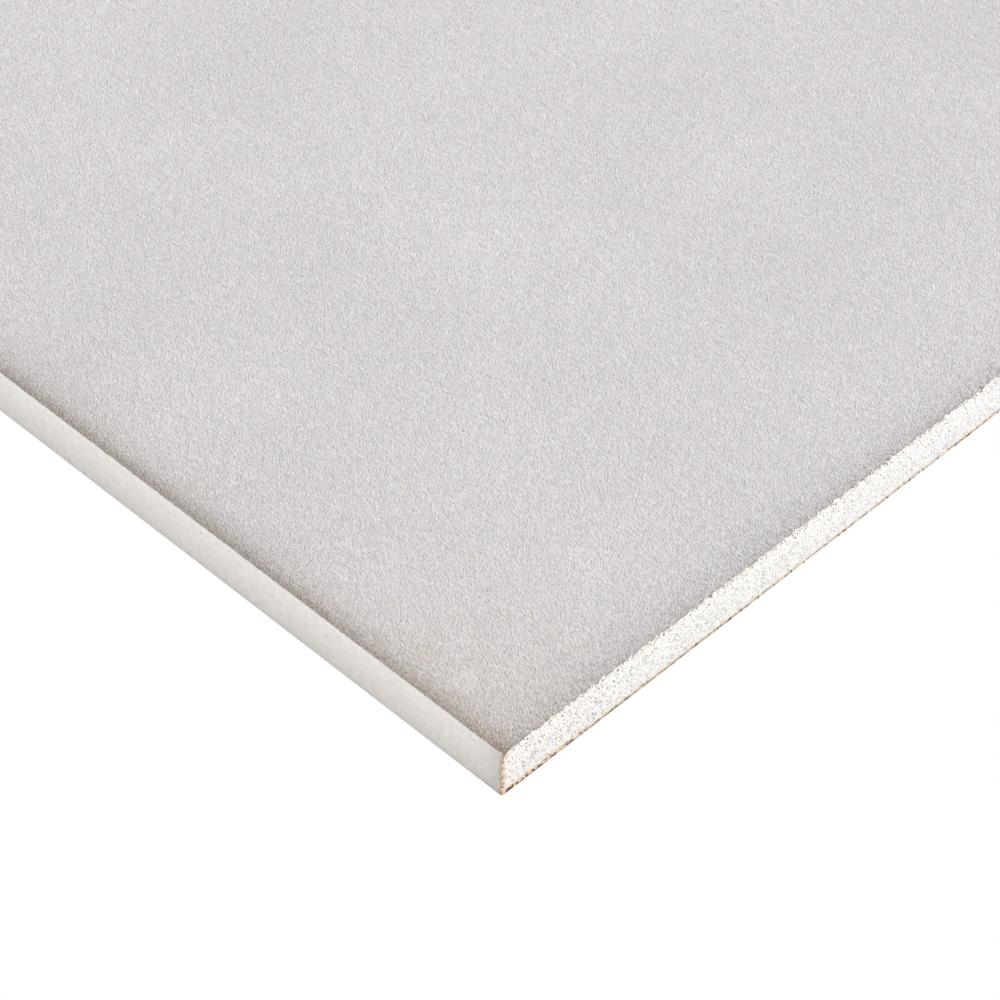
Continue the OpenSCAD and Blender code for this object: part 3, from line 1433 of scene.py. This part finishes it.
@dataclass
class FacePaper(PaperSheet):
    """The face liner: over the face, round both long edges and folded onto the back."""

    arc_steps: int = 8
    on_face: Wear = Wear(fray=0.5, clot=0.1, crumb=0.6, clean=0.0, tear=1.9)
    on_edge: Wear = Wear(fray=0.8, clot=0.15, crumb=0.0, clean=0.82, tear=1.0)
    on_lap: Wear = Wear(fray=0.15, clot=0.0, crumb=0.0, clean=0.9, tear=0.6)

    def wear(self, outer: np.ndarray) -> list[Wear]:
        """Wear along the outline: on the face, on the long edges, on the laps and under the heels.

        Args:
            outer: Points of the outer skin, as X and Z.

        Returns:
            The wear at each point.
        """
        s = self.size
        found = []
        for across, height in outer:
            if height > s.thickness - s.face_ply:
                found.append(self.on_face)
            elif abs(across) > s.half_width - s.heel_radius:
                found.append(self.on_edge)
            else:
                found.append(self.on_lap if height > 0.5 * s.back_ply else self.on_back)
        return found

    def section(self) -> tuple[np.ndarray, np.ndarray]:
        """Outline from one lap, round the edge, over the face and down to the other lap.

        Returns:
            Points of the outer skin and, across the paper from them, of the inner skin, as X and Z.
        """
        s = self.size
        side = s.half_width - s.face_ply
        lap_ends = [
            ((s.lap_edge, s.back_ply), (s.lap_edge, s.lap_top)),
            ((s.seam_step, s.back_ply), (s.seam_step, s.lap_top)),
            ((s.seam_edge, 0.0), (s.seam_edge, s.face_ply)),
            ((s.half_width - s.heel_radius, 0.0), (side - s.inner_heel, s.face_ply)),
        ]
        outer, inner = [], []
        for start, stop in zip(lap_ends[:-1], lap_ends[1:]):
            count = max(2, round(math.dist(start[0], stop[0]) / self.spacing.fine))
            share = np.linspace(0.0, 1.0, count, endpoint=False)[:, None]
            for skin, a, b in zip((outer, inner), np.array(start), np.array(stop)):
                skin.append(a + (b - a) * share)
        quarter = np.linspace(0.0, 0.5 * math.pi, self.arc_steps + 1)
        round_off = np.column_stack([np.sin(quarter), np.cos(quarter)])
        down, up = np.array([1.0, -1.0]), np.array([1.0, 1.0])
        rise = np.arange(s.heel_radius, s.thickness - s.shoulder_radius, self.spacing.fine)[1:]
        for skin, x, low, high, heel, shoulder in (
            (outer, s.half_width, 0.0, s.thickness, s.heel_radius, s.shoulder_radius),
            (inner, side, s.face_ply, s.thickness - s.face_ply, s.inner_heel, s.inner_shoulder),
        ):
            skin.append(np.array([x, low]) - heel * down + heel * round_off * down)
            skin.append(np.column_stack([np.full_like(rise, x), rise]))
            skin.append(np.array([x, high]) - shoulder * up + shoulder * round_off[::-1] * up)
        face = self.spacing.columns(s.half_width - s.shoulder_radius)[1:-1]
        mirror = np.array([-1.0, 1.0])
        whole = []
        for skin, height in ((outer, s.thickness), (inner, s.thickness - s.face_ply)):
            right = np.concatenate(skin)
            over = np.column_stack([face, np.full_like(face, height)])
            whole.append(np.concatenate([right * mirror, over, right[::-1]]))
        return whole[0], whole[1]


class BackPaper(PaperSheet):
    """The back liner: a flat sheet over the back, with skived long edges."""

    def section(self) -> tuple[np.ndarray, np.ndarray]:
        """Outline across the back, from right to left so that its outer skin faces down.

        Returns:
            Points of the outer skin and, across the paper from them, of the inner skin, as X and Z.
        """
        s = self.size
        across = self.spacing.columns(s.seam_edge)[::-1]
        outer = np.column_stack([across, np.zeros_like(across)])
        inner = np.column_stack([across * s.seam_step / s.seam_edge, np.full_like(across, s.back_ply)])
        return outer, inner


@dataclass(frozen=True)
class Litter:
    """One kind of loose bit: its shape and size, what it lies by, how thickly, and how it sticks out."""

    bit: Bit
    lies_by: Trace
    per_mm2: float
    radius_mm: tuple[float, float]
    stretch: float
    swing: float
    stand_out_mm: float
    raggedness_mm: float
    ragged_grain_mm: float = 0.25
    tilt: float = 20.0
    bend: float = 3.0


# Each strand stands for a bundle of fibres, which are too fine to show by themselves
STRANDS = Litter(
    bit=Bit.FIBRE,
    lies_by=Trace.FRAY,
    per_mm2=2.0,
    radius_mm=(0.05, 0.11),
    stretch=5.5,
    swing=85.0,
    stand_out_mm=0.2,
    raggedness_mm=0.12,
)
CLOTS = Litter(
    bit=Bit.LUMP,
    lies_by=Trace.CLOT,
    per_mm2=1.2,
    radius_mm=(0.12, 0.34),
    stretch=1.3,
    swing=90.0,
    stand_out_mm=0.1,
    raggedness_mm=0.3,
)
CRUMBS = Litter(
    bit=Bit.LUMP,
    lies_by=Trace.CRUMB,
    per_mm2=1.6,
    radius_mm=(0.06, 0.22),
    stretch=1.2,
    swing=90.0,
    stand_out_mm=0.15,
    raggedness_mm=0.25,
)


@dataclass
class Debris:
    """Loose bits of one kind that the saw leaves along the torn plies of a liner."""

    name: str
    size: SheetSize
    litter: Litter
    finish: bpy.types.Material
    seed: int

    def shape(self, nodes: Shaping) -> Feed:
        """Make one bit, of unit radius and, for a fibre, unit length.

        Args:
            nodes: Tree that gets the bit.

        Returns:
            The bit's mesh.
        """
        if self.litter.bit is Bit.LUMP:
            return nodes.add("GeometryNodeMeshIcoSphere", {"Radius": 1.0, "Subdivisions": 2})
        cone = {"Vertices": 4, "Side Segments": 3, "Radius Top": 0.3, "Radius Bottom": 1.0, "Depth": 1.0}
        straight = nodes.add("GeometryNodeMeshCone", cone)
        height = nodes.add(SPLIT_XYZ, {0: nodes.add(POSITION)}).outputs["Z"]
        curve = nodes.add(MATH, {0: height, 1: height}, operation="MULTIPLY")
        lean = nodes.add(MATH, {0: curve, 1: self.litter.bend}, operation="MULTIPLY")
        return nodes.add(MOVE, {"Geometry": straight, "Offset": nodes.add(JOIN_XYZ, {"X": lean})})

    def sown(self, nodes: Shaping) -> Feed:
        """Sow the bits over the torn faces of a liner, each in a shade of its own.

        Args:
            nodes: Tree that gets them.

        Returns:
            The bits as real meshes.
        """
        given = nodes.given
        torn = nodes.add(MARKED, {"Name": Trace.OPEN_PLY.value}, data_type="BOOLEAN")
        share = nodes.add(MARKED, {"Name": given["Lies by"]}, data_type="FLOAT")
        density = nodes.add(MATH, {0: share, 1: given["Density"]}, operation="MULTIPLY")
        spread = {"Mesh": given["Geometry"], "Selection": torn, "Density": density, "Seed": given["Seed"]}
        points = nodes.add("GeometryNodeDistributePointsOnFaces", spread)

        # Each bit points into the sheet, swung to either side and tilted a little out of the cut
        lean = nodes.add(MARKED, {"Name": Trace.LEAN.value}, data_type="FLOAT")
        sides = {}
        for number, label in enumerate(("Swing", "Tilt")):
            other = nodes.add(MATH, {0: given[label], 1: -1.0}, operation="MULTIPLY")
            sides[label] = nodes.add(RANDOM, {"Min": other, "Max": given[label], "Seed": number})
        turn = nodes.add(MATH, {0: lean, 1: sides["Swing"]}, operation="ADD")
        way = nodes.add(JOIN_XYZ, {"X": sides["Tilt"], "Y": turn})
        radius = nodes.add(RANDOM, {"Min": given["Smallest"], "Max": given["Largest"], "Seed": 2})
        length = nodes.add(MATH, {0: radius, 1: given["Stretch"]}, operation="MULTIPLY")
        size = nodes.add(JOIN_XYZ, {"X": radius, "Y": radius, "Z": length})
        stood = {"Points": points, "Instance": self.shape(nodes), "Rotation": way, "Scale": size}
        bits = nodes.add("GeometryNodeInstanceOnPoints", stood)
        shade = nodes.add(RANDOM, {"Min": 0.0, "Max": 1.0, "Seed": 3})
        shaded = nodes.add(
            "GeometryNodeStoreNamedAttribute",
            {"Geometry": bits, "Name": Trace.SHADE.value, "Value": shade},
            data_type="FLOAT",
            domain="INSTANCE",
        )
        return nodes.add(REALIZE, {"Geometry": shaded})

    def build(self, liner: bpy.types.Object) -> bpy.types.Object:
        """Scatter the bits over a liner's torn ends, ragged, brought forward and kept in the sheet's box.

        Args:
            liner: The torn liner.

        Returns:
            The finished piece, which holds only the bits.
        """
        s, litter = self.size, self.litter
        values = {
            "Lies by": litter.lies_by.value,
            "Density": litter.per_mm2 / MM**2,
            "Smallest": litter.radius_mm[0] * MM,
            "Largest": litter.radius_mm[1] * MM,
            "Stretch": litter.stretch,
            "Swing": math.radians(litter.swing),
            "Tilt": math.radians(litter.tilt),
            "Stand out": litter.stand_out_mm * MM,
            "Raggedness": litter.raggedness_mm * MM,
            "Ragged grain": litter.ragged_grain_mm * MM,
            "Low": (-s.half_width, -s.half_length, 0.0),
            "High": (s.half_width, s.half_length, s.thickness),
            "Seed": self.seed,
            "Finish": self.finish,
        }
        nodes = Shaping(f"scatter of {self.name}", values)
        given = nodes.given
        real = self.sown(nodes)
        place = nodes.add(POSITION)
        grains = nodes.add(MATH, {0: 1.0, 1: given["Ragged grain"]}, operation="DIVIDE")
        noise = nodes.add(NOISE, {"Vector": place, "Scale": grains, "Detail": 1.0}).outputs["Color"]
        middled = nodes.add(VECTOR, {0: noise, 1: (0.5, 0.5, 0.5)}, operation="SUBTRACT")
        spot = nodes.add(VECTOR, {0: middled, "Scale": given["Raggedness"]}, operation="SCALE")
        spot = nodes.add(VECTOR, {0: place, 1: spot}, operation="ADD")
        forward = nodes.outwards(place, given["Stand out"])
        for other, operation in ((forward, "ADD"), (given["Low"], "MAXIMUM"), (given["High"], "MINIMUM")):
            spot = nodes.add(VECTOR, {0: spot, 1: other}, operation=operation)
        placed = nodes.add(MOVE, {"Geometry": real, "Position": spot})
        dressed = nodes.add(DRESS, {"Geometry": placed, "Material": given["Finish"]})
        piece = new_piece(self.name, liner.data.copy())
        nodes.run(dressed, piece)
        return piece


@dataclass
class Studio:
    """Pale floor, soft light and the camera."""

    floor_radius: float = 60.0
    floor_sides: int = 96
    floor_drop: float = 0.1 * MM
    floor_colour: str = "#ECECEC"
    white: str = "#FFFFFF"
    sky: float = 0.7
    key_strength: float = 2.3
    key_way: tuple[float, float] = (-32.0, 38.0)
    fill_strength: float = 0.45
    fill_way: tuple[float, float] = (200.0, 35.0)
    spread: float = 25.0
    place: tuple[float, float, float] = (-0.89053, -1.47906, 0.48246)
    heading: float = 44.02
    drop: float = 44.915
    roll: float = 0.925
    lens: float = 116.7

    def build(self) -> None:
        """Make the floor, the lights and the camera."""
        bpy.context.scene.view_settings.view_transform = "Standard"
        self.floor()
        self.sky_light()
        self.softbox("Key softbox", self.key_strength, *self.key_way)
        self.softbox("Fill softbox", self.fill_strength, *self.fill_way)
        self.camera()

    def floor(self) -> None:
        """Lay the floor, a wide disc under the sheet that shows pure white and lights the sheet as matt."""
        turn = np.linspace(0.0, 2 * math.pi, self.floor_sides, endpoint=False)
        rim = np.column_stack([np.cos(turn), np.sin(turn), np.zeros_like(turn)]) * self.floor_radius
        floor = new_piece("floor", new_mesh("floor", rim, [list(range(len(turn)))]))
        floor.location.z = -self.floor_drop
        material = bpy.data.materials.new("Studio floor, white matt")
        material.use_nodes = True
        nodes = Graph(material.node_tree)
        nodes.tree.nodes.clear()
        seen = nodes.add("ShaderNodeLightPath").outputs["Is Camera Ray"]
        matt = nodes.add("ShaderNodeBsdfDiffuse", {"Color": linear(self.floor_colour)})
        white = nodes.add("ShaderNodeEmission", {"Color": linear(self.white), "Strength": 1.0})
        shown = nodes.add("ShaderNodeMixShader", {0: seen, 1: matt, 2: white})
        nodes.add("ShaderNodeOutputMaterial", {"Surface": shown})
        floor.data.materials.append(material)

    def sky_light(self) -> None:
        """Light the sheet evenly from all round."""
        world = bpy.data.worlds.new("Studio tent")
        world.use_nodes = True
        nodes = Graph(world.node_tree)
        nodes.tree.nodes.clear()
        seen = nodes.add("ShaderNodeLightPath").outputs["Is Camera Ray"]
        strength = nodes.add(MIX, {"Factor": seen, "A": self.sky, "B": 1.0})
        tent = nodes.add("ShaderNodeBackground", {"Color": linear(self.white), "Strength": strength})
        nodes.add("ShaderNodeOutputWorld", {"Surface": tent})
        bpy.context.scene.world = world

    def softbox(self, name: str, strength: float, azimuth: float, elevation: float) -> None:
        """Hang a wide soft light far off.

        Args:
            name: Name of the light.
            strength: Light that it gives, in watts per square metre.
            azimuth: Degrees round from +X towards +Y.
            elevation: Degrees above the floor.
        """
        light = bpy.data.lights.new(name, "SUN")
        light.energy = strength
        light.angle = math.radians(self.spread)
        lamp = bpy.data.objects.new(name, light)
        round_by, up_by = math.radians(azimuth), math.radians(elevation)
        flat = math.cos(up_by)
        towards = Vector((math.cos(round_by) * flat, math.sin(round_by) * flat, math.sin(up_by)))
        lamp.rotation_euler = towards.to_track_quat("Z", "Y").to_euler()
        bpy.context.scene.collection.objects.link(lamp)

    def camera(self) -> None:
        """Set the camera at the photograph's place, looking down on the near corner."""
        camera = bpy.data.cameras.new("Camera")
        camera.lens = self.lens
        camera.clip_end = 4 * self.floor_radius
        heading, drop, roll = (math.radians(a) for a in (self.heading, self.drop, self.roll))
        flat = math.cos(drop)
        back = Vector((-math.cos(heading) * flat, -math.sin(heading) * flat, math.sin(drop)))
        right = (-back).cross(Vector((0.0, 0.0, 1.0))).normalized()
        up = right.cross(-back)
        rolled_right = right * math.cos(roll) + up * math.sin(roll)
        rolled_up = up * math.cos(roll) - right * math.sin(roll)
        turn = Matrix((rolled_right, rolled_up, back)).transposed().to_4x4()
        holder = bpy.data.objects.new("Camera", camera)
        holder.matrix_world = Matrix.Translation(self.place) @ turn
        bpy.context.scene.collection.objects.link(holder)
        bpy.context.scene.camera = holder


def main() -> None:
    """Build the sheet and its studio, and report each piece."""
    logging.basicConfig(level=logging.INFO, format="%(name)s: %(message)s")
    size = SheetSize.from_frame()
    Studio().build()
    torn = TornPlyFinish(size=size).material()
    torn_back = TornPlyFinish(
        size=size,
        name="Recycled kraft paper, torn inner plies",
        pale_colour="#D8BA95",
        tan_colour="#AB7F53",
        wiped_share=0.68,
    ).material()
    strands = LooseFibreFinish(
        size=size, name="Recycled paper, loose strands", dark_colour="#96714A", pale_colour="#E9D6BD"
    ).material()
    clots = LooseFibreFinish(
        size=size, name="Recycled paper, loose clots", dark_colour="#6E5033", pale_colour="#A17D55"
    ).material()

    core = GypsumCore(size, GypsumFinish(size=size)).build()
    hand_over(core, ("gypsum_core",))
    face = FacePaper("face_paper_wrap", size, FaceLinerFinish(size=size).material(), torn).build()
    hand_over(face, ("face_paper",))
    back = BackPaper("back_paper_liner", size, BackLinerFinish().material(), torn_back, seed=23.0).build()
    hand_over(back, ("back_paper",))

    liners = (("face_paper", Slot.FACE_PAPER, face), ("back_paper", Slot.BACK_PAPER, back))
    for number, (label, slot, liner) in enumerate(liners):
        fibres = Debris(f"{label}_fibres", size, STRANDS, strands, seed=31 + number)
        hand_over(fibres.build(liner))
        lumps = Debris(f"{label}_clots", size, CLOTS, clots, seed=41 + number)
        hand_over(lumps.build(liner))
    crumbs = Debris("gypsum_crumbs", size, CRUMBS, core.data.materials[0], seed=51)
    hand_over(crumbs.build(face))


if __name__ == "__main__":
    main()
